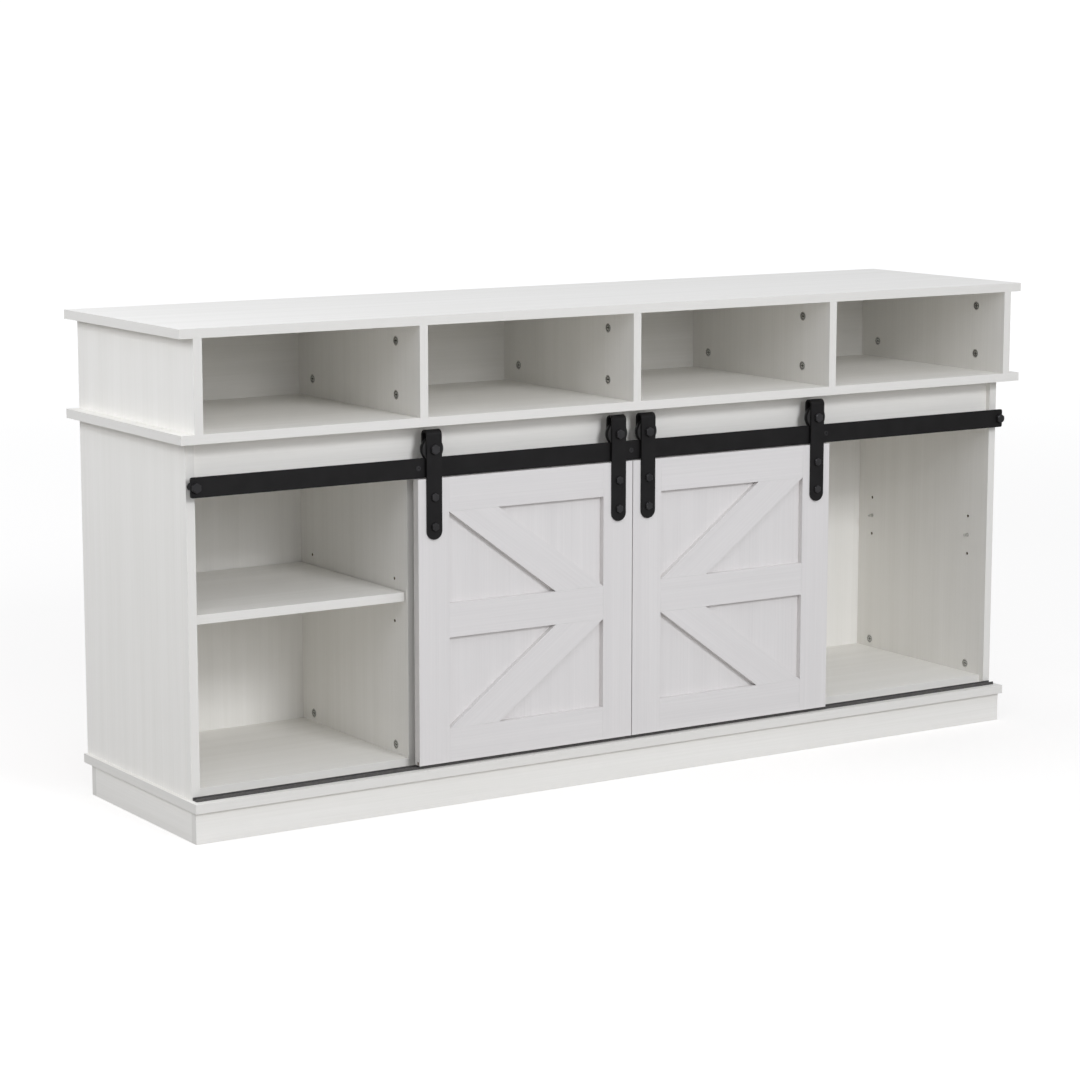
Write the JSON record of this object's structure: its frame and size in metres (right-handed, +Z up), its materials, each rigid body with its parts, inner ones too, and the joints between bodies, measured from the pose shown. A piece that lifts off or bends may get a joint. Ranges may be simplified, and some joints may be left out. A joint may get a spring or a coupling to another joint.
{
  "type": "tv stand with doors",
  "caption": "Long white woodgrain TV stand with open cubbies under the top, open bays at both ends and framed barn doors that roll on a black track.",
  "frame": {"origin": "centre of the footprint, on the floor", "axes": "+X to the right along the length, +Y from the doors to the back, +Z up"},
  "size_m": [1.68, 0.421, 0.806],
  "materials": {
    "white_board": "satin white laminate with a faint grey woodgrain",
    "white_door": "satin cool white laminate with a faint grey woodgrain",
    "black_metal": "satin black powder coat on steel",
    "black_nylon": "matte moulded nylon",
    "zinc": "dull zinc plate",
    "beech": "raw fluted dowel"
  },
  "bodies": {
    "carcass": {"top_board": "white_board", "middle_board": "white_board", "base_board": "white_board", "upper_side_left": "white_board", "upper_side_right": "white_board", "upper_divider_left": "white_board", "upper_divider_middle": "white_board", "upper_divider_right": "white_board", "upper_back_left": "white_board", "upper_back_right": "white_board", "lower_side_left": "white_board", "lower_side_right": "white_board", "partition_left": "white_board", "partition_right": "white_board", "lower_back_left": "white_board", "lower_back_middle": "white_board", "lower_back_right": "white_board", "floor_left": "white_board", "floor_middle": "white_board", "floor_right": "white_board", "shelf_left": "white_board", "shelf_middle": "white_board", "apron": "white_board", "plinth_front": "white_board", "plinth_back": "white_board", "plinth_left": "white_board", "plinth_right": "white_board", "track_bar": "black_metal", "track_spacers": "black_metal", "track_screws": "black_metal", "end_stops": "black_metal", "bottom_guide": "black_nylon", "shelf_pins": "zinc", "cam_locks": "zinc", "cam_bolts": "zinc", "wood_dowels": "beech"},
    "left_door": {"left_door_outer_stile": "white_door", "left_door_inner_stile": "white_door", "left_door_top_rail": "white_door", "left_door_middle_rail": "white_door", "left_door_bottom_rail": "white_door", "left_door_braces": "white_door", "left_door_panel": "white_door", "left_door_hangers": "black_metal", "left_door_bolts": "black_metal", "left_door_glides": "black_nylon"},
    "right_door": {"right_door_outer_stile": "white_door", "right_door_inner_stile": "white_door", "right_door_top_rail": "white_door", "right_door_middle_rail": "white_door", "right_door_bottom_rail": "white_door", "right_door_braces": "white_door", "right_door_panel": "white_door", "right_door_hangers": "black_metal", "right_door_bolts": "black_metal", "right_door_glides": "black_nylon"},
    "left_outer_wheel": {"left_outer_wheel": "black_nylon"},
    "left_inner_wheel": {"left_inner_wheel": "black_nylon"},
    "right_inner_wheel": {"right_inner_wheel": "black_nylon"},
    "right_outer_wheel": {"right_outer_wheel": "black_nylon"}
  },
  "joints": [
    {"name": "left_door_slide", "type": "slide", "parent": "carcass", "child": "left_door", "axis": [1, 0, 0], "range_m": [-0.4, 0]},
    {"name": "right_door_slide", "type": "slide", "parent": "carcass", "child": "right_door", "axis": [1, 0, 0], "range_m": [0, 0.4]},
    {"name": "left_outer_wheel_spin", "type": "hinge", "parent": "left_door", "child": "left_outer_wheel", "pos_m": [-0.3878, -0.1925, 0.5905], "axis": [0, 1, 0], "range_deg": [-1640, 0]},
    {"name": "left_inner_wheel_spin", "type": "hinge", "parent": "left_door", "child": "left_inner_wheel", "pos_m": [-0.0298, -0.1925, 0.5905], "axis": [0, 1, 0], "range_deg": [-1640, 0]},
    {"name": "right_inner_wheel_spin", "type": "hinge", "parent": "right_door", "child": "right_inner_wheel", "pos_m": [0.0298, -0.1925, 0.5905], "axis": [0, 1, 0], "range_deg": [0, 1640]},
    {"name": "right_outer_wheel_spin", "type": "hinge", "parent": "right_door", "child": "right_outer_wheel", "pos_m": [0.3878, -0.1925, 0.5905], "axis": [0, 1, 0], "range_deg": [0, 1640]}
  ],
  "couplings": [
    {"joint": "left_outer_wheel_spin", "follows": "left_door_slide", "rad_per_m": 71.429},
    {"joint": "left_inner_wheel_spin", "follows": "left_door_slide", "rad_per_m": 71.429},
    {"joint": "right_inner_wheel_spin", "follows": "right_door_slide", "rad_per_m": 71.429},
    {"joint": "right_outer_wheel_spin", "follows": "right_door_slide", "rad_per_m": 71.429}
  ]
}
